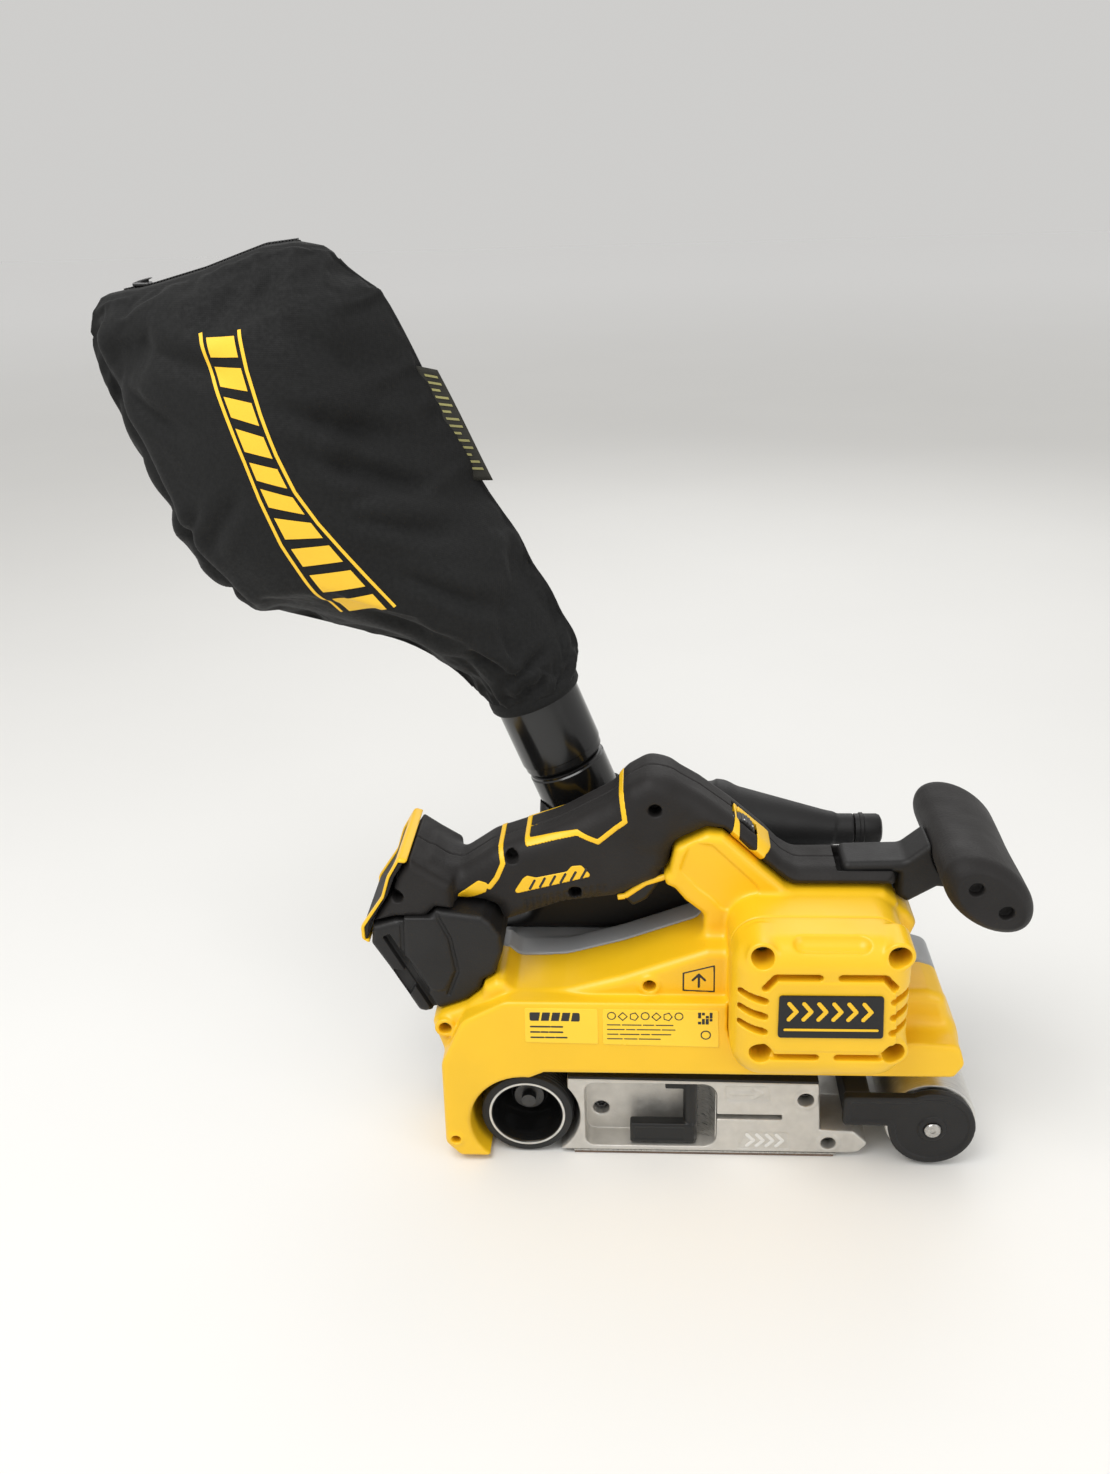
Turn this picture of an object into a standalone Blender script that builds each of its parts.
"""Cordless hand-held belt sander for 75 x 533 mm belts, with its dust bag.

The tool axis runs along X with the front roller at +X, Z is up and the sanding plane is z = 0.
X is measured from the middle of the wheelbase.  The open side, where a belt slides on, is at -Y,
and the toothed drive belt runs at +Y.  Lengths in this file are millimetres; MM turns them into metres.
"""
import math

import bmesh
import bpy
from mathutils import Matrix, Vector

MM = 0.001

# Driving dimensions
GAP = 0.3                    # clearance left between pieces that touch
ROLLER_HALF = 37.3           # half length of both rollers, for a 75 mm belt
DRUM_X, DRUM_Z, DRUM_R = -98.0, 23.3, 22.8
IDLER_X, IDLER_Z, IDLER_R = 99.5, 22.5, 22.0
MOTOR_X, MOTOR_Z = 43.0, 108.0
MOTOR_BORE_R = 28.5
STATOR_R = 27.6
ARCH_R = 27.5                # wheel arch round the drum
FRAME_NEAR, FRAME_FAR = -38.0, 38.7
SKIRT_Y = -45.0              # outer face of the right-hand skirt
WALL_Y = 44.0                # outer face of the left-hand wall
GRIP_HALF = 18.0             # half width of the hand grip
SHELL_FACE = GAP / 2         # the two shells meet at y = 0 with a gap
PULLEY_R, PINION_R = 16.0, 6.4
PULLEY_TEETH, PINION_TEETH = 30, 12
BELT_THICKNESS = 1.8
OUTLET_BASE = Vector((-66.0, 45.0, 147.0))
OUTLET_AXIS = Vector((-0.36, 0.0, 0.933)).normalized()
OUTLET_R = 19.8
TRIGGER_PIVOT = (-34.0, 149.5)
LEVER_X, LEVER_Y = -17.0, -32.5
HANDLE_PIVOT = (60.0, 144.9)
GRIP_BAR = (115.0, 151.0)    # centre of the front grip's oval section
GRIP_BAR_TILT = math.radians(-40)
DIAL_X, DIAL_Z, DIAL_R = 2.2, 163.4, 11.0
YOKE_PIVOT_X = 62.0
TRACKING_X, TRACKING_Z = 70.0, 63.5
FOOT_HALF = 28.0             # half width of the battery foot

YELLOW = ("yellow_plastic", (0.88, 0.56, 0.012), 0.42, 0.0)
BLACK = ("black_plastic", (0.022, 0.021, 0.021), 0.55, 0.0)
GRIP_RUBBER = ("grip_rubber", (0.028, 0.026, 0.026), 0.75, 0.0)
GLOSS_BLACK = ("gloss_black", (0.006, 0.006, 0.006), 0.16, 0.0)
GREY = ("grey_plastic", (0.35, 0.36, 0.37), 0.45, 0.0)
ALUMINIUM = ("cast_aluminium", (0.40, 0.38, 0.35), 0.42, 1.0)
STEEL = ("steel", (0.55, 0.54, 0.52), 0.30, 1.0)
ROLLER = ("turned_aluminium", (0.62, 0.61, 0.58), 0.28, 1.0)
TYRE = ("tyre_rubber", (0.015, 0.015, 0.015), 0.70, 0.0)
CORK = ("platen_cork", (0.20, 0.15, 0.11), 0.90, 0.0)
COPPER = ("windings", (0.50, 0.20, 0.07), 0.40, 1.0)
CLOTH = ("bag_cloth", (0.022, 0.021, 0.020), 0.90, 0.0)
CIRCUIT = ("potting", (0.03, 0.05, 0.04), 0.60, 0.0)


# ---------------------------------------------------------------- scene and helpers

for stale in list(bpy.data.objects):
    bpy.data.objects.remove(stale, do_unlink=True)


def new_collection(name):
    made = bpy.data.collections.new(name)
    bpy.context.scene.collection.children.link(made)
    return made


PARTS = new_collection("belt_sander")
CUTTERS = new_collection("cutters")


def material(spec):
    name, rgb, roughness, metallic = spec
    made = bpy.data.materials.get(name)
    if made is None:
        made = bpy.data.materials.new(name)
        made.use_nodes = True
        shader = made.node_tree.nodes["Principled BSDF"]
        shader.inputs["Base Color"].default_value = (*rgb, 1.0)
        shader.inputs["Roughness"].default_value = roughness
        shader.inputs["Metallic"].default_value = metallic
    return made


def add_object(name, mesh, finish=None):
    """Link a mesh as a part, or as a hidden cutter when it has no finish."""
    obj = bpy.data.objects.new(name, mesh)
    if finish is None:
        CUTTERS.objects.link(obj)
        obj.hide_render = True
        obj.display_type = "WIRE"
        return obj
    PARTS.objects.link(obj)
    mesh.materials.append(material(finish))
    mesh.shade_smooth()
    mesh.set_sharp_from_angle(angle=math.radians(35))
    return obj


def mesh_of(bm, name):
    bmesh.ops.recalc_face_normals(bm, faces=bm.faces)
    mesh = bpy.data.meshes.new(name)
    bm.to_mesh(mesh)
    bm.free()
    return mesh


def block(name, low, high, finish=None):
    bm = bmesh.new()
    bmesh.ops.create_cube(bm, size=1.0)
    size = [(b - a) * MM for a, b in zip(low, high)]
    centre = [(a + b) / 2 * MM for a, b in zip(low, high)]
    bmesh.ops.scale(bm, vec=size, verts=bm.verts)
    bmesh.ops.translate(bm, vec=centre, verts=bm.verts)
    return add_object(name, mesh_of(bm, name), finish)


def rod(name, start, end, radius, finish=None, end_radius=None, segments=24):
    """A cylinder, or a cone when end_radius is given, from start to end."""
    start, end = Vector(start), Vector(end)
    along = end - start
    turn = along.to_track_quat("Z", "Y").to_matrix().to_4x4()
    place = Matrix.Translation((start + end) / 2 * MM) @ turn
    bm = bmesh.new()
    bmesh.ops.create_cone(bm, cap_ends=True, segments=segments, radius1=radius * MM,
                          radius2=(radius if end_radius is None else end_radius) * MM,
                          depth=along.length * MM, matrix=place)
    return add_object(name, mesh_of(bm, name), finish)


def cross_rod(name, x, z, y0, y1, radius, finish=None, segments=24):
    return rod(name, (x, y0, z), (x, y1, z), radius, finish, segments=segments)


def arc(cx, cz, radius, start, end, steps):
    """Points of an arc in the XZ plane, angles in degrees."""
    angles = [math.radians(start + (end - start) * i / steps) for i in range(steps + 1)]
    return [(cx + radius * math.cos(a), cz + radius * math.sin(a)) for a in angles]


def rounded(corners):
    """Round each corner given as (x, z, radius); a plain (x, z) stays sharp."""
    result = []
    for i, corner in enumerate(corners):
        here = Vector(corner[:2])
        if len(corner) == 2:
            result.append(tuple(here))
            continue
        before = (Vector(corners[i - 1][:2]) - here).normalized()
        after = (Vector(corners[(i + 1) % len(corners)][:2]) - here).normalized()
        half = before.angle(after) / 2
        reach = corner[2] / math.tan(half)
        centre = here + (before + after).normalized() * (corner[2] / math.sin(half))
        first = here + before * reach - centre
        sweep = first.angle_signed(here + after * reach - centre)
        steps = max(2, math.ceil(abs(math.degrees(sweep)) / 30))
        for k in range(steps + 1):
            spoke = Matrix.Rotation(-sweep * k / steps, 2) @ first
            result.append(tuple(centre + spoke))
    return result


def closed_mesh(guide):
    """The mesh of a guide curve with its end faces welded on; the guide is used up."""
    bpy.context.view_layer.update()
    graph = bpy.context.evaluated_depsgraph_get()
    mesh = bpy.data.meshes.new_from_object(guide.evaluated_get(graph))
    bm = bmesh.new()
    bm.from_mesh(mesh)
    bmesh.ops.transform(bm, matrix=guide.matrix_world, verts=bm.verts)
    bmesh.ops.remove_doubles(bm, verts=bm.verts, dist=0.00001)
    name = guide.name
    bpy.data.meshes.remove(mesh)
    bpy.data.objects.remove(guide, do_unlink=True)
    return mesh_of(bm, name)


def plate(name, outlines, y0, y1, finish=None):
    """An outline in the XZ plane, or several with the later ones as holes, from y0 to y1."""
    if isinstance(outlines[0][0], (int, float)):
        outlines = [outlines]
    curve = bpy.data.curves.new(name + "_outline", "CURVE")
    curve.dimensions = "2D"
    curve.fill_mode = "BOTH"
    curve.extrude = abs(y1 - y0) / 2 * MM
    for outline in outlines:
        spline = curve.splines.new("POLY")
        spline.points.add(len(outline) - 1)
        spline.use_cyclic_u = True
        for point, (x, z) in zip(spline.points, outline):
            point.co = (x * MM, z * MM, 0.0, 1.0)
    guide = bpy.data.objects.new(name + "_outline", curve)
    CUTTERS.objects.link(guide)
    guide.matrix_world = (Matrix.Translation((0.0, (y0 + y1) / 2 * MM, 0.0))
                          @ Matrix.Rotation(math.pi / 2, 4, "X"))
    return add_object(name, closed_mesh(guide), finish)


def turned(name, profile, finish=None, steps=32, ring=False):
    """A turned solid: (radius, height) from top to bottom, or a closed profile running the other way."""
    count = len(profile)
    edges = [(i, (i + 1) % count) for i in range(count if ring else count - 1)]
    mesh = bpy.data.meshes.new(name)
    mesh.from_pydata([(r * MM, 0.0, h * MM) for r, h in profile], edges, [])
    obj = add_object(name, mesh, finish)
    screw = obj.modifiers.new("turn", "SCREW")
    screw.steps = screw.render_steps = steps
    screw.use_merge_vertices = True
    screw.merge_threshold = 0.00001
    screw.use_normal_flip = ring
    return obj


def along_y(obj, x, z):
    """Stand a turned solid on an axis along Y, its heights read as y."""
    obj.matrix_world = (Matrix.Translation((x * MM, 0.0, z * MM))
                        @ Matrix.Rotation(-math.pi / 2, 4, "X"))
    return obj


def combine(obj, operation, others):
    for other in others:
        modifier = obj.modifiers.new(other.name, "BOOLEAN")
        modifier.operation = operation
        modifier.solver = "EXACT"
        modifier.object = other
    return obj


def join(obj, *others):
    return combine(obj, "UNION", others)


def cut(obj, *others):
    return combine(obj, "DIFFERENCE", others)


def soften(obj, width, segments=2, angle=50):
    bevel = obj.modifiers.new("soften", "BEVEL")
    bevel.width = width * MM
    bevel.segments = segments
    bevel.limit_method = "ANGLE"
    bevel.angle_limit = math.radians(angle)
    return obj


def coil(name, start, end, radius, wire, turns, finish):
    """A helical spring from start to end."""
    start, end = Vector(start), Vector(end)
    along = end - start
    side = along.orthogonal().normalized()
    other = along.normalized().cross(side)
    per_turn = 8
    count = turns * per_turn
    curve = bpy.data.curves.new(name, "CURVE")
    curve.dimensions = "3D"
    curve.bevel_depth = wire / 2 * MM
    curve.bevel_resolution = 1
    curve.use_fill_caps = True
    spline = curve.splines.new("POLY")
    spline.points.add(count)
    for i in range(count + 1):
        angle = 2 * math.pi * i / per_turn
        point = start + along * (i / count) + (side * math.cos(angle) + other * math.sin(angle)) * radius
        spline.points[i].co = (*(point * MM), 1.0)
    guide = bpy.data.objects.new(name + "_wire", curve)
    CUTTERS.objects.link(guide)
    return add_object(name, closed_mesh(guide), finish)


def loft(name, rings, finish=None):
    """A closed solid through rings of points, for a soft form with unlike sections."""
    bm = bmesh.new()
    loops = [[bm.verts.new(Vector(p) * MM) for p in ring] for ring in rings]
    for lower, upper in zip(loops, loops[1:]):
        for i in range(len(lower)):
            j = (i + 1) % len(lower)
            bm.faces.new((lower[i], lower[j], upper[j], upper[i]))
    bm.faces.new(loops[0])
    bm.faces.new(loops[-1])
    return add_object(name, mesh_of(bm, name), finish)


def on_axis(name, point, *objects):
    """Parent moving pieces to an empty that stands on their joint's axis."""
    pivot = bpy.data.objects.new(name, None)
    PARTS.objects.link(pivot)
    pivot.location = Vector(point) * MM
    bpy.context.view_layer.update()
    for obj in objects:
        obj.parent = pivot
        obj.matrix_parent_inverse = pivot.matrix_world.inverted()
    return pivot


# ---------------------------------------------------------------- outlines shared by pieces

def lower_body_outline():
    """Rear guard, wheel arch, skirt and the face above it."""
    arch = arc(DRUM_X, DRUM_Z, ARCH_R, 229, 84, 12)
    return rounded([(-138.7, 10.4, 4), (-131.6, 2.5, 3), (-118.4, 2.5), *arch, (-88, 54), (107, 54, 3),
                    (111.5, 61, 4), (108.5, 71.5, 5), (90, 73), (4, 73), (4, 93, 3), (-106, 93, 10),
                    (-127, 82, 10), (-138, 58, 10)])


def deck_outline():
    """The ramp under the hand grip, which also carries the battery foot."""
    return rounded([(-136, 50), (-143, 75, 3), (-138, 78.9), (-126, 83.6, 3), (-118.2, 90, 3),
                    (-116.3, 95.2), (-110.6, 98.8, 3), (-106.5, 98, 2), (-101, 92.6, 8),
                    (-78, 94, 30), (-50, 102, 30), (-10, 117), (10, 117), (10, 50)])


def strap_outline():
    """The column that carries the hand grip's front end and the motor housing's crown."""
    return rounded([(-11.2, 100), (-11.2, 128, 4), (-20, 135.5), (-25, 142), (-29, 144),
                    (-30, 148.2), (-27.5, 151), (-24.8, 163.5, 4), (-10, 171, 4), (-2.5, 170, 2),
                    (17, 151.3), (29, 140.4, 8), (73, 140.4, 4), (79.3, 135),
                    (79.3, 133.4), (85, 129.4), (89, 124, 4), (77, 91), (-5, 91)])


def barrel_outline(inset=0.0):
    """The rounded square of the motor housing."""
    r = 15.0
    return rounded([(0 + inset, 66 + inset, r), (80 - inset, 66 + inset, r),
                    (80 - inset, 140 - inset, r), (0 + inset, 140 - inset, r)])


def nose_body_outline():
    return rounded([(60, 50), (106, 50), (110, 64, 5), (103.5, 88, 6), (96, 90.5, 5), (60, 90.5)])


# Points of the hand grip's upper and lower line that face each other, from the neck over the hump
# and down the spine to the nose: upper x, upper z, lower x, lower z
GRIP_STATIONS = [
    (-141, 154, -138, 135), (-132, 149, -125, 133.3), (-121, 153, -112.5, 130.3),
    (-109, 160.7, -106, 121.2), (-94, 165.7, -92, 125.8), (-79, 171, -76, 131.3),
    (-62, 180.5, -58, 133.8), (-50, 189, -45, 138), (-40, 196.5, -31, 145),
    (-31, 198, -28.3, 151.5), (-22, 194.5, -25.4, 164), (-11, 187, -10, 171.5),
    (2, 176.3, -2.4, 170.6), (22, 158, 17.3, 151.8), (33, 149.6, 29.2, 140.9), (79, 149.6, 79, 140.9),
]


def grip_body(name, finish=None):
    """The hand grip as squarish ovals strung between its upper and lower lines."""
    squareness = 2 / 2.6
    rings = []
    for top_x, top_z, low_x, low_z in GRIP_STATIONS:
        ring = []
        for i in range(16):
            angle = 2 * math.pi * i / 16
            rise = math.copysign(abs(math.sin(angle)) ** squareness, math.sin(angle))
            side = math.copysign(abs(math.cos(angle)) ** squareness, math.cos(angle))
            share = (1 + rise) / 2
            ring.append((low_x + (top_x - low_x) * share, GRIP_HALF * side,
                         low_z + (top_z - low_z) * share))
        rings.append(ring)
    return loft(name, rings, finish)


def flare_outline():
    """The widened neck over the battery foot."""
    return rounded([(-168.7, 126.9), (-158, 129.8), (-143.7, 129.8), (-138.2, 135.2), (-130, 134),
                    (-130, 147.5, 3), (-140.5, 154.3, 8), (-149, 160.5), (-155.3, 151, 10),
                    (-159.2, 141, 10)])


def hull_outline(grow):
    """Outline round the toothed belt's two pulleys, grown outwards."""
    first, second = Vector((DRUM_X, DRUM_Z)), Vector((MOTOR_X, MOTOR_Z))
    r1, r2 = PULLEY_R + grow, PINION_R + grow
    between = second - first
    slope = math.degrees(math.atan2(between.y, between.x))
    lean = math.degrees(math.acos((r1 - r2) / between.length))
    return (arc(*first, r1, slope + lean, slope + 360 - lean, 22)
            + arc(*second, r2, slope - lean, slope + lean, 14))


def toothed_outline(cx, cz, radius, depth, teeth):
    points = []
    for i in range(teeth):
        for part, r in ((0.0, radius), (0.42, radius), (0.58, radius - depth), (0.84, radius - depth)):
            angle = 2 * math.pi * (i + part) / teeth
            points.append((cx + r * math.cos(angle), cz + r * math.sin(angle)))
    return points


def circle(cx, cz, radius, count=28):
    return arc(cx, cz, radius, 0, 360 - 360 / count, count - 1)


# ---------------------------------------------------------------- housings

def make_right_housing():
    """Open-side half of the yellow body, a shell with bays for motor and electronics."""
    body = plate("base_housing_right", lower_body_outline(), SKIRT_Y, 3.0, YELLOW)
    join(body, plate("right_deck", deck_outline(), -34, 3.6),
         plate("right_strap", strap_outline(), -20, 4.2),
         plate("right_barrel", barrel_outline(), -40, 4.8),
         plate("right_nose", nose_body_outline(), -28, 5.4))
    cut(body, block("right_trim", (-200, -SHELL_FACE, -20), (200, 20, 220)),
        plate("right_cover_seat", barrel_outline(-GAP), -60, -40.1),
        cross_rod("right_motor_bore", MOTOR_X, MOTOR_Z, -42, 6, MOTOR_BORE_R),
        block("right_electronics_bay", (-92, -41, 58), (-4, 6, 86)),
        block("right_wire_bay", (2, -15, 112), (22, 6, 148)),
        cross_rod("right_dial_bay", DIAL_X, DIAL_Z, -9.5, 6, DIAL_R + 1.6),
        cross_rod("right_hole_deck", -37, 98, -36, -18, 3.2, segments=20),
        cross_rod("right_hole_rear", -136.8, 72.5, -36, -18, 3.2, segments=20),
        cross_rod("right_hole_guard", -133.2, 13, -47, -30, 1.9, segments=16))
    for x, z in COVER_SCREWS:
        cut(body, cross_rod("barrel_screw_hole", x, z, -42.5, -20.5, 2.2, segments=16))


def make_left_housing():
    """Drive-side half of the body, which carries the bearings and the belt case."""
    body = plate("drive_housing_left", lower_body_outline(), -3, WALL_Y, GREY)
    wall = rounded([(-136, 8, 6), (44, 8, 4), (44, 60), (-136, 60)])
    join(body, plate("left_wall", wall, 39.3, WALL_Y - 0.4),
         plate("left_deck", deck_outline(), -3.6, 17),
         plate("left_strap", strap_outline(), -4.2, GRIP_HALF + 2),
         plate("left_barrel", rounded([(12, 76, 10), (74, 76, 10), (74, 128, 10), (12, 128, 10)]), -4.8, 39),
         plate("left_nose", nose_body_outline(), -5.4, 28))
    cut(body, block("left_trim", (-200, -20, -20), (200, SHELL_FACE, 220)),
        cross_rod("left_fan_bore", MOTOR_X, MOTOR_Z, -6, 26, 21),
        cross_rod("left_bearing_seat", MOTOR_X, MOTOR_Z, 20, 34, 9.8),
        cross_rod("left_shaft_hole", MOTOR_X, MOTOR_Z, 30, 50, 6.0, segments=24),
        cross_rod("left_drum_seat", DRUM_X, DRUM_Z, 30, 50, 11.3),
        cross_rod("left_tracking_hole", TRACKING_X, TRACKING_Z, 31, 50, 2.8, segments=20),
        block("left_electronics_bay", (-92, -6, 58), (-4, 36, 86)),
        block("left_wire_bay", (2, -6, 112), (22, 15, 148)),
        cross_rod("left_dial_bay", DIAL_X, DIAL_Z, -6, 4, DIAL_R + 1.6))


COVER_SCREWS = [(13, 133.5), (73, 133.7), (13.2, 83.3), (73.2, 83.1)]


def make_motor_cover():
    """Four-screw cover on the motor housing's open end, with its vents."""
    cover = plate("motor_cover", barrel_outline(), -66, -40 - GAP, YELLOW)
    soften(cover, 13, 2)
    cut(cover, cross_rod("cover_hollow", MOTOR_X, MOTOR_Z, -57, -30, MOTOR_BORE_R),
        cross_rod("cover_bearing_seat", MOTOR_X, MOTOR_Z, -61.5, -50, 9.8))
    for x, z in COVER_SCREWS:
        cut(cover, cross_rod("cover_screw_well", x, z, -70, -48, 4.6, segments=20),
            cross_rod("cover_screw_hole", x, z, -50, -36, 2.2, segments=16))
    for side in (-1, 1):
        for z in (129.0, 89.0):
            low = MOTOR_X + side * 16 - 11
            cut(cover, block("cover_slot", (low, -70, z - 1.6), (low + 22, -52, z + 1.6)))


def make_cover_screws():
    for i, (x, z) in enumerate(COVER_SCREWS, 1):
        profile = [(0, -22), (2, -22), (2, -48.3), (4, -48.3), (4, -52), (0, -52)]
        along_y(turned("cover_screw_%d" % i, profile, STEEL, 14), x, z)


def make_handle_shells():
    """The two black shells of neck, hand grip, hump and spine, with bays for switch and trigger."""
    for name, flare_near, flare_far in (("handle_shell_right", -27, 8.5),
                                        ("handle_shell_left", -8.5, 27)):
        shell = grip_body(name, GRIP_RUBBER)
        join(shell, soften(plate(name + "_flare", flare_outline(), flare_near, flare_far), 4, 2))
        right = name == "handle_shell_right"
        trim = ((-200, -SHELL_FACE, 60), (200, 20, 240)) if right else ((-200, -20, 60), (200, SHELL_FACE, 240))
        cut(shell, block(name + "_trim", *trim),
            block(name + "_trigger_bay", (-54, -9.6, 110), (-28.5, 9.6, 153.4)),
            block(name + "_switch_bay", (-66, -10.6, 153), (-33, 10.6, 176)),
            cross_rod(name + "_dial_bay", DIAL_X, DIAL_Z, -9.7, 6, DIAL_R + 1.2, segments=26),
            block(name + "_tab_seat", (51, -12, 145.4), (90, 12, 170)),
            block(name + "_lug_pocket", (51, -11.9, 141.9), (67, 11.9, 150)),
            cross_rod(name + "_handle_pin_hole", *HANDLE_PIVOT, -15.3, 15.3, 1.9, segments=16),
            cross_rod(name + "_trigger_pin_hole", *TRIGGER_PIVOT, -13.3, 13.3, 1.8, segments=16))
        if not right:
            cut(shell, cross_rod(name + "_lock_hole", -46, 164.5, 5, 30, 5.3, segments=24))


def make_battery_foot():
    """Foot with side rails and a terminal pocket, where the battery pack would slide on."""
    outline = rounded([(-170.3, 116), (-163.1, 103.4, 4), (-149.8, 77.7, 3), (-146.6, 76.9, 2),
                       (-138, 79.4), (-125.7, 84.4, 4), (-118.6, 90.7, 3), (-116.9, 95.8),
                       (-111.2, 99.4, 4), (-107.2, 111.4, 5), (-107.8, 120.5), (-112.2, 127.8),
                       (-116, 131.1), (-138, 134.3), (-143.7, 128.9), (-158, 128.9), (-169, 125.4)])
    foot = plate("battery_foot", outline, -FOOT_HALF, FOOT_HALF, BLACK)
    soften(foot, 2, 2)
    top, bottom = Vector((-168.0, 114.0)), Vector((-149.8, 77.7))
    run = (bottom - top).normalized()
    out = Vector((run.y, -run.x))

    def rail_cutter(name, y0, y1, depth0, depth1, reach0, reach1):
        corners = [top + run * a - out * b for a, b in ((reach0, depth0), (reach1, depth0),
                                                        (reach1, depth1), (reach0, depth1))]
        return plate(name, [tuple(c) for c in corners], y0, y1)

    cut(foot, rail_cutter("foot_rail_right", -40, -FOOT_HALF + 4, 6, 10, -4, 60),
        rail_cutter("foot_rail_left", FOOT_HALF - 4, 40, 6, 10, -4, 60),
        rail_cutter("foot_terminal_pocket", -13, 13, -6, 16, 8, 60))
    block_outline = [top + run * a - out * b for a, b in ((12, 9), (34, 9), (34, 15.6), (12, 15.6))]
    terminals = plate("terminal_block", [tuple(c) for c in block_outline], -12, 12, BLACK)
    blade = [top + run * a - out * b for a, b in ((15, 3), (31, 3), (31, 11), (15, 11))]
    for y in (-9, -3, 3, 9):
        join(terminals, plate("terminal_blade", [tuple(c) for c in blade], y - 0.6, y + 0.6))


def make_foot_trim():
    """Yellow rim round the top of the battery foot."""
    outline = rounded([(-149.6, 161.3), (-153.8, 162.6, 2), (-160.5, 151.5, 10), (-164, 140.5, 8),
                       (-175, 124.5, 3), (-175, 118, 2), (-171.5, 115.6), (-170.9, 118.5),
                       (-169.6, 126.2), (-159.9, 141.2, 10), (-156, 151.2, 10)])
    soften(plate("battery_rim", outline, -27, 27, YELLOW), 1.2, 2)


def make_frame():
    """Aluminium casting between the rollers, with the lever pocket and the slider's channel."""
    arch = arc(DRUM_X, DRUM_Z, 26.4, -53, 39, 10)
    outline = rounded([*arch, (-77.5, 45.9, 1), (45.1, 44.5, 2), (46.5, 16.6), (63, 15.9, 3),
                       (70.5, 8.5, 2), (66, 3.2, 2), (60.1, 2.4)])
    frame = plate("platen_frame", outline, FRAME_NEAR, FRAME_FAR, ALUMINIUM)
    soften(frame, 0.6, 1)
    pocket = rounded([(-69, 5, 5), (-7, 5, 7), (-7, 43.2, 7), (-69, 43.2, 5)])
    cut(frame, plate("frame_pocket", pocket, -50, -24.5),
        block("frame_channel", (-31, -9.5, 15.5), (90, 9.5, 32.5)),
        block("frame_channel_step", (31, -8.7, 27), (91, 8.7, 36)),
        block("frame_slot", (-9, -50, 22.3), (27.8, -5, 25.3)))
    for x, z, radius, depth in ((38.9, 35.0, 3.9, 10), (50.9, 8.7, 3.6, 10), (-61.5, 17.5, 4.0, 24)):
        cut(frame, cross_rod("frame_hole", x, z, -60, FRAME_NEAR + depth, radius, segments=24))


def make_platen():
    """Spring-steel shoe and the cork-faced pad that backs the sanding belt."""
    block("platen_shoe", (-75, -37.5, 1.15), (55, 37.5, 2.1), STEEL)
    block("platen_pad", (-74.8, -37.4, 0.0), (53.9, 37.4, 0.85), CORK)


def make_drum():
    """Drive drum: aluminium core, rubber tyre and the shaft that carries them."""
    core = [(5.1, -20), (9, -20), (9, -12), (16.8, -12), (16.8, -37.2), (18.9, -37.2), (18.9, 37),
            (16.8, 37), (16.8, -6), (9, -6), (9, 30), (5.1, 30)]
    roller = along_y(turned("drive_roller", core, ROLLER, 28, ring=True), DRUM_X, DRUM_Z)
    tyre = [(19.2, -ROLLER_HALF), (22.0, -ROLLER_HALF), (DRUM_R, -36.2),
            (DRUM_R, 36.2), (22.0, ROLLER_HALF), (19.2, ROLLER_HALF)]
    tread = along_y(turned("drive_tyre", tyre, TYRE, 40, ring=True), DRUM_X, DRUM_Z)
    shaft = [(0, 59), (4.8, 59), (4.8, -20.6), (7.5, -20.6), (7.5, -23), (3.6, -23), (3.6, -27), (0, -27)]
    spindle = along_y(turned("drive_shaft", shaft, STEEL, 24), DRUM_X, DRUM_Z)
    bearing = [(5.1, 39.6), (11, 39.6), (11, 43.8), (5.1, 43.8)]
    along_y(turned("drum_bearing", bearing, STEEL, 32, ring=True), DRUM_X, DRUM_Z)
    return roller, tread, spindle


def make_belt_drive():
    """Toothed pinion, pulley and belt that turn the drum, and the cover over them."""
    y0, y1 = 47.5, 57.5
    pinion = plate("motor_pinion", [toothed_outline(MOTOR_X, MOTOR_Z, PINION_R, 1.0, PINION_TEETH),
                                    circle(MOTOR_X, MOTOR_Z, 4.1)], y0, y1, STEEL)
    pulley = plate("drive_pulley", [toothed_outline(DRUM_X, DRUM_Z, PULLEY_R, 1.0, PULLEY_TEETH),
                                    circle(DRUM_X, DRUM_Z, 4.9)], y0, y1, STEEL)
    plate("drive_belt", [hull_outline(GAP + BELT_THICKNESS), hull_outline(GAP)], y0 + 0.5, y1 - 0.5, TYRE)
    cover = plate("drive_belt_cover", hull_outline(4.6), WALL_Y + GAP, 64, BLACK)
    soften(cover, 1.6, 2)
    cut(cover, plate("belt_cover_hollow", hull_outline(2.8), 30, 61.5))
    return pinion, pulley


def make_motor():
    """Brushless motor across the tool: stator, magnet rotor, bearings and both fans."""
    stator = [(21, -50), (STATOR_R, -50), (STATOR_R, -14), (21, -14)]
    along_y(turned("motor_stator", stator, COPPER, 32, ring=True), MOTOR_X, MOTOR_Z)
    rotor = [(0, 59), (4, 59), (4, -14), (20, -14), (20, -48), (4, -48), (4, -60), (0, -60)]
    turning = [along_y(turned("motor_rotor", rotor, STEEL, 32), MOTOR_X, MOTOR_Z)]
    for name, y in (("motor_bearing_right", -61.0), ("motor_bearing_left", 28.5)):
        ring = [(4.1, y), (9.5, y), (9.5, y + 5), (4.1, y + 5)]
        along_y(turned(name, ring, STEEL, 28, ring=True), MOTOR_X, MOTOR_Z)
    for name, radius, teeth, y0, y1 in (("cooling_fan", 27.0, 11, -11, -3), ("dust_fan", 19.5, 9, 6, 20)):
        outlines = [toothed_outline(MOTOR_X, MOTOR_Z, radius, radius * 0.42, teeth),
                    circle(MOTOR_X, MOTOR_Z, 4.1)]
        turning.append(plate(name, outlines, y0, y1, BLACK))
    return turning


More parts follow.
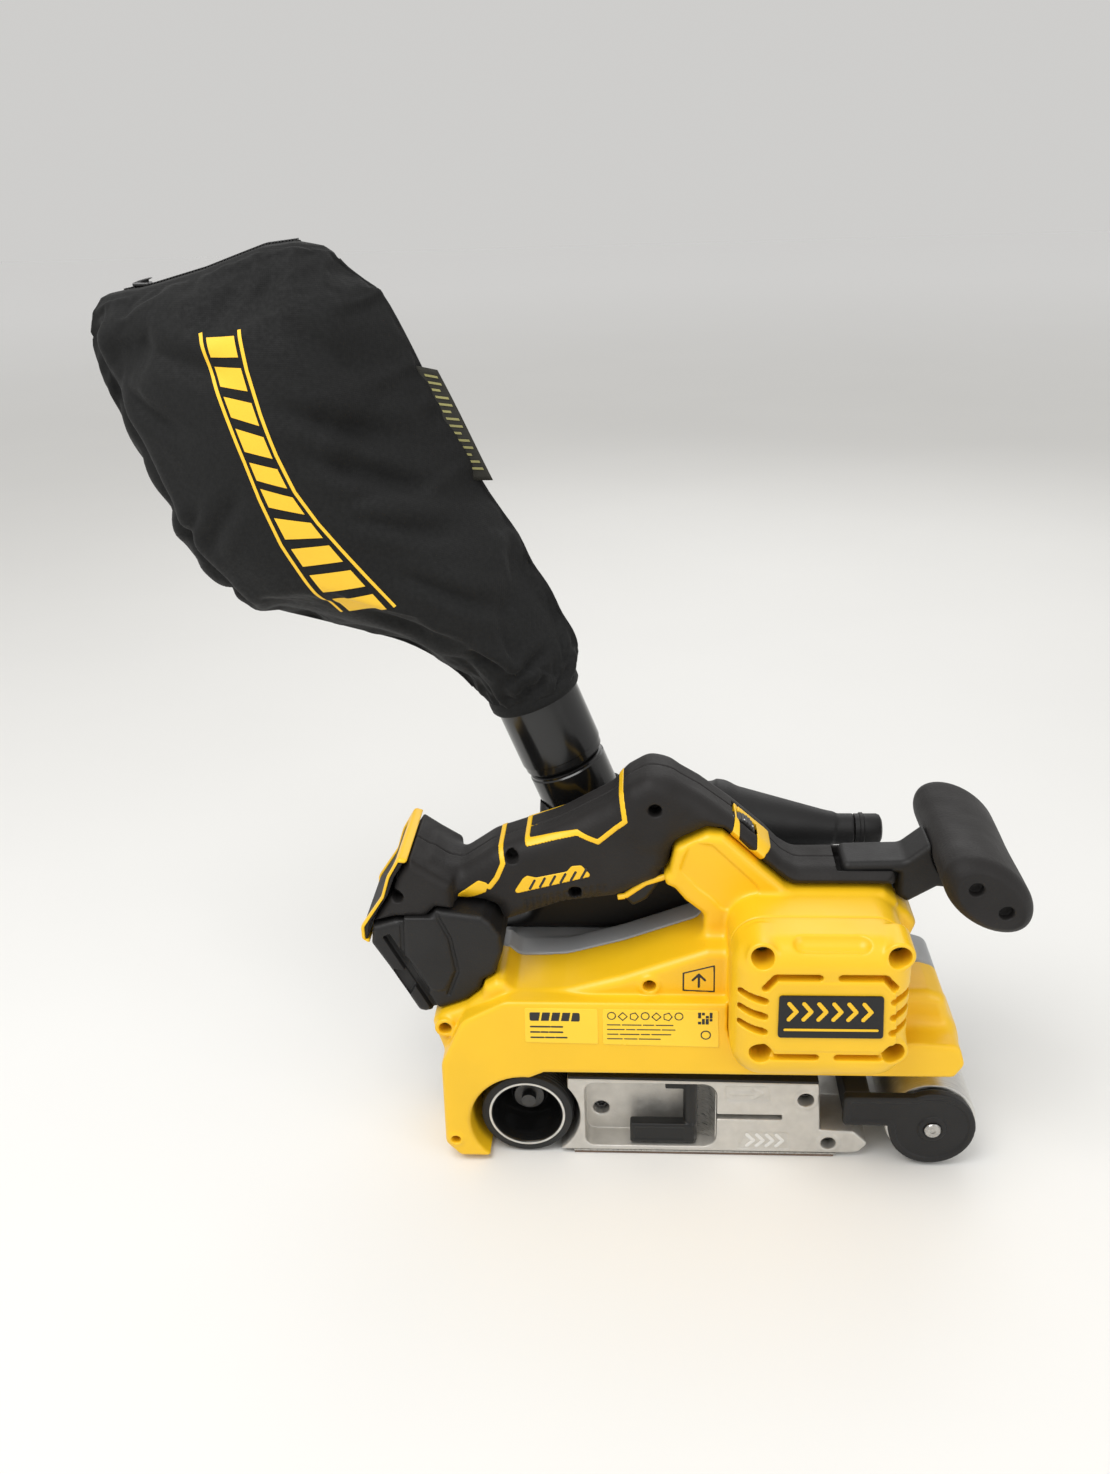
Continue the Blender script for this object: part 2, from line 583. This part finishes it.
def make_idler():
    """Front roller on its axle between the arms of the black yoke."""
    roller = [(11.2, -ROLLER_HALF), (21.2, -ROLLER_HALF), (IDLER_R, -36.5), (IDLER_R, 36.5),
              (21.2, ROLLER_HALF), (11.2, ROLLER_HALF), (11.2, 30), (17, 30), (17, -30), (11.2, -30)]
    idler = along_y(turned("idler_roller", roller, ROLLER, 36, ring=True), IDLER_X, IDLER_Z)
    bearings = []
    for name, y in (("idler_bearing_right", -36.8), ("idler_bearing_left", 30.2)):
        ring = [(4.2, y), (11, y), (11, y + 6.5), (4.2, y + 6.5)]
        bearings.append(along_y(turned(name, ring, STEEL, 28, ring=True), IDLER_X, IDLER_Z))
    axle = [(0, 44.2), (4, 44.2), (4, -44.6), (3.4, -45), (0, -45)]
    axle_rod = along_y(turned("idler_axle", axle, STEEL, 24), IDLER_X, IDLER_Z)
    arm = (rounded([(78, 24), (56.5, 24, 2), (56.5, 41, 2), (90.5, 41)])
           + arc(IDLER_X, IDLER_Z, 20.8, 116, -176, 20))
    yoke = plate("idler_yoke", arm, -43.4, -38.4, BLACK)
    join(yoke, plate("yoke_left_arm", arm, 38.4, 43.4),
         block("yoke_bridge", (57.5, -40, 24.5), (69.5, 40, 40.5)))
    cut(yoke, cross_rod("yoke_axle_hole", IDLER_X, IDLER_Z, -60, 60, 4.1, segments=24),
        block("yoke_tongue_slot", (50, -10.5, 28), (67, 10.5, 36)),
        rod("yoke_pin_hole", (YOKE_PIVOT_X, 0, 10), (YOKE_PIVOT_X, 0, 60), 2.7, segments=20))
    pin = rod("yoke_pin", (YOKE_PIVOT_X, 0, 25), (YOKE_PIVOT_X, 0, 40), 2.5, STEEL, segments=20)
    on_axis("idler_axis", (IDLER_X, 0, IDLER_Z), idler, *bearings)
    on_axis("yoke_axis", (YOKE_PIVOT_X, 0, 32), yoke, pin, axle_rod)


def make_tensioner():
    """Sliding bar, its spring, and the quick-release lever in the frame's pocket."""
    bar = block("tension_slider", (-6, -9, 16), (47, 9, 32), STEEL)
    join(bar, block("slider_tongue", (40, -8, 28.6), (66, 8, 35.4)))
    cut(bar, rod("slider_pin_hole", (YOKE_PIVOT_X, 0, 10), (YOKE_PIVOT_X, 0, 60), 3.0, segments=20),
        block("slider_clearance", (47.2, -20, 32.2), (52, 20, 40)))
    coil("tension_spring", (-30.4, 0, 24), (-6.8, 0, 24), 6.0, 1.2, 6, STEEL)
    lever = rod("tension_lever", (LEVER_X, LEVER_Y, 5.6), (LEVER_X, LEVER_Y, 42.4), 3.5, BLACK, segments=20)
    join(lever, block("lever_handle", (-46.9, LEVER_Y - 4.4, 6.2), (LEVER_X + 2.2, LEVER_Y + 2.2, 17.8)),
         block("lever_hook", (-29.4, LEVER_Y - 1.5, 37.2), (LEVER_X, LEVER_Y + 2.5, 41.2)))
    on_axis("lever_axis", (LEVER_X, LEVER_Y, 24), lever)
    on_axis("slider_axis", (YOKE_PIVOT_X, 0, 24), bar)


def make_tracking():
    """Knob on the drive side that steers the front roller."""
    outlines = [toothed_outline(TRACKING_X, TRACKING_Z, 8.5, 1.0, 14), circle(TRACKING_X, TRACKING_Z, 2.7, 16)]
    knob = plate("tracking_knob", outlines, WALL_Y + GAP, 53, BLACK)
    screw = cross_rod("tracking_screw", TRACKING_X, TRACKING_Z, 32, 52.6, 2.4, STEEL, segments=16)
    on_axis("tracking_axis", (TRACKING_X, WALL_Y, TRACKING_Z), knob, screw)


def make_trigger():
    """Finger trigger under the grip with its return spring, and the switch it works."""
    outline = rounded([(-50, 149), (-50, 138.5), (-49.5, 131, 3), (-45, 125.6, 2), (-38, 129.5, 5),
                       (-33, 137, 4), (-31.3, 142), (-30.2, 149, 2), (-31, 152.4), (-39, 152.4), (-39, 149)])
    trigger = plate("trigger", outline, -8.5, 8.5, BLACK)
    soften(trigger, 1.5, 2)
    cut(trigger, cross_rod("trigger_bore", *TRIGGER_PIVOT, -20, 20, 1.8, segments=16))
    cross_rod("trigger_pin", *TRIGGER_PIVOT, -13, 13, 1.5, STEEL, segments=16)
    coil("trigger_spring", (-46, 0, 149.7), (-46, 0, 153.7), 2.6, 0.7, 3, STEEL)
    block("switch_module", (-65.5, -10, 154.2), (-33.5, 10, 175), CIRCUIT)
    button = [(0, 21), (4.2, 21), (5, 20.2), (5, 13.6), (0, 13.6)]
    lock = along_y(turned("lock_button", button, BLACK, 24), -46, 164.5)
    on_axis("trigger_axis", (TRIGGER_PIVOT[0], 0, TRIGGER_PIVOT[1]), trigger)
    on_axis("lock_axis", (-46, 17, 164.5), lock)


def make_speed_dial():
    """Thumbwheel in the slope of the spine and the yellow bezel round it."""
    dial = plate("speed_dial", toothed_outline(DIAL_X, DIAL_Z, DIAL_R, 0.5, 24), -8.5, -0.5, BLACK)
    slope = [(0.5, 179.2), (20.5, 161.2), (21.9, 162.4), (1.5, 180.9)]
    bezel = plate("dial_bezel", slope, -14, 5, YELLOW)
    cut(bezel, block("bezel_window", (3, -9.2, 150), (16.5, 0.2, 190)))
    on_axis("dial_axis", (DIAL_X, 0, DIAL_Z), dial)


def make_front_handle():
    """Transverse front grip on its arm, hinged on a pin across the spine's nose."""
    lug = arc(*HANDLE_PIVOT, 2.6, 0, -180, 6)
    outline = lug + rounded([(54, 146.2, 1), (54, 151.6, 3), (83, 152.4, 6), (93, 161), (104, 161),
                             (104, 138), (98.6, 138.6), (85.2, 130.2, 2), (80, 134), (80, 146.2, 0.5), (64, 145.9)])
    arm = plate("front_handle_arm", outline, -11.4, 11.4, BLACK)
    soften(arm, 1.2, 1)
    oval = oval_outline(*GRIP_BAR, 24, 15, GRIP_BAR_TILT)
    cut(arm, plate("arm_grip_seat", oval_outline(*GRIP_BAR, 24.3, 15.3, GRIP_BAR_TILT), -60, 60),
        cross_rod("arm_pin_hole", *HANDLE_PIVOT, -20, 20, 1.8, segments=16))
    grip = plate("front_grip", oval, -46, 46, GRIP_RUBBER)
    soften(grip, 7, 3)
    cut(grip, plate("grip_cap_recess", oval_outline(*GRIP_BAR, 16.5, 9.5, GRIP_BAR_TILT), -60, -43.5))
    cross_rod("front_handle_pin", *HANDLE_PIVOT, -15, 15, 1.5, STEEL, segments=16)
    on_axis("front_handle_axis", (HANDLE_PIVOT[0], 0, HANDLE_PIVOT[1]), arm, grip)


def oval_outline(cx, cz, long_radius, short_radius, tilt, count=26):
    points = []
    for i in range(count):
        angle = 2 * math.pi * i / count
        x, z = long_radius * math.cos(angle), short_radius * math.sin(angle)
        points.append((cx + x * math.cos(tilt) - z * math.sin(tilt),
                       cz + x * math.sin(tilt) + z * math.cos(tilt)))
    return points


def tube_through(name, y, stations, finish=None, count=24):
    """A solid tube whose round sections stand at (x, z, radius)."""
    angles = [2 * math.pi * i / count for i in range(count)]
    rings = [[(x, y + radius * math.cos(a), z + radius * math.sin(a)) for a in angles]
             for x, z, radius in stations]
    return loft(name, rings, finish)


def make_dust_duct():
    """Dust duct on the drive side, with a hose spigot in front and the bag's outlet on top."""
    y = OUTLET_BASE.y
    body = rounded([(-118, 93.4), (-101, 99, 10), (-94.5, 110, 8), (-92, 140, 6), (-15, 150, 8), (-15, 93.4)])
    duct = plate("dust_duct", body, 20.6, 64, BLACK)
    soften(duct, 3, 2)
    join(duct, tube_through("duct_tube", y, [(-92, 148.8, 17.4), (22, 148.8, 17.4), (49, 141.3, 9.2),
                                             (51, 140.3, 8.0), (67, 140.2, 8.0)]),
         rod("duct_boss", OUTLET_BASE - OUTLET_AXIS * 8, OUTLET_BASE + OUTLET_AXIS * 14, OUTLET_R + 2.6))
    cut(duct, rod("duct_front_bore", (-70, y, 140.2), (90, y, 140.2), 6.4, segments=24),
        rod("duct_outlet_bore", OUTLET_BASE, OUTLET_BASE + OUTLET_AXIS * 60, OUTLET_R + GAP),
        rod("duct_inner_bore", OUTLET_BASE - OUTLET_AXIS * 12, OUTLET_BASE + OUTLET_AXIS * 8, 15),
        block("duct_toe_relief", (-130, 33, 80), (-100.5, 80, 110)))
    cap = [(0, 81), (5.5, 81), (8.0, 78.5), (8.0, 67.4), (0, 67.4)]
    end_cap = turned("duct_end_cap", cap, BLACK, 28)
    end_cap.matrix_world = (Matrix.Translation((0.0, y * MM, 140.2 * MM))
                            @ Matrix.Rotation(math.pi / 2, 4, "Y"))


def stand_on_outlet(obj):
    """Heights of a turned piece run up the outlet's axis from its base."""
    turn = OUTLET_AXIS.to_track_quat("Z", "Y").to_matrix().to_4x4()
    obj.matrix_world = Matrix.Translation(OUTLET_BASE * MM) @ turn
    return obj


def make_outlet_and_bag():
    """Fixed outlet tube, the bag's push-on collar, and the bag as a plain soft form."""
    outlet = [(OUTLET_R - 2, 1), (OUTLET_R, 1), (OUTLET_R, 35.6), (17.2, 36.4), (17.2, 50), (15.2, 50),
              (15.2, 20), (OUTLET_R - 2, 16)]
    stand_on_outlet(turned("dust_outlet", outlet, GLOSS_BLACK, 32, ring=True))
    collar = [(17.5, 37), (19.6, 37), (20.8, 41), (20.8, 76), (18.2, 76), (17.5, 56)]
    collar_ring = stand_on_outlet(turned("bag_collar", collar, GLOSS_BLACK, 32, ring=True))
    rings = []
    for cx, cz, half_width, half_depth, heading in BAG_SECTIONS:
        side = Vector((math.cos(math.radians(heading)), math.sin(math.radians(heading))))
        ring = []
        for i in range(24):
            angle = 2 * math.pi * i / 24
            across = half_width * math.cos(angle)
            ring.append((cx + across * side.x, OUTLET_BASE.y + half_depth * math.sin(angle),
                         cz + across * side.y))
        rings.append(ring)
    bag = loft("dust_bag", rings, CLOTH)
    reach = Vector((4.5, 3.2, 1.6))
    slider = block("zip_slider", ZIP_START - reach, ZIP_START + reach, STEEL)
    on_axis("bag_axis", OUTLET_BASE, collar_ring, bag)
    on_axis("zip_axis", ZIP_START, slider)


# centre x, centre z, half width, half depth, heading of the width in degrees
BAG_SECTIONS = [
    (-92.8, 219.6, 21.5, 21.5, 22), (-96.5, 228, 27, 24, 23), (-108.5, 246, 32, 29, 20),
    (-132, 266, 43, 35, 22), (-168.5, 291, 63, 41, 24), (-189, 319, 69, 43, 27),
    (-205.5, 358, 67, 41, 24), (-217, 384, 67, 36, 20), (-226, 403, 64, 28, 17),
    (-229, 413, 56, 18, 15), (-227, 419, 36, 8, 14),
]
ZIP_START = Vector((-262.0, 51.0, 413.6))


def make_electronics():
    block("controller_module", (-88, -38, 60), (-8, 34, 82), CIRCUIT)


make_right_housing()
make_left_housing()
make_motor_cover()
make_cover_screws()
make_handle_shells()
make_battery_foot()
make_foot_trim()
make_frame()
make_platen()
drum_pieces = make_drum()
belt_pinion, belt_pulley = make_belt_drive()
on_axis("drum_axis", (DRUM_X, 0, DRUM_Z), *drum_pieces, belt_pulley)
on_axis("motor_axis", (MOTOR_X, 0, MOTOR_Z), *make_motor(), belt_pinion)
make_idler()
make_tensioner()
make_tracking()
make_trigger()
make_speed_dial()
make_front_handle()
make_dust_duct()
make_outlet_and_bag()
make_electronics()
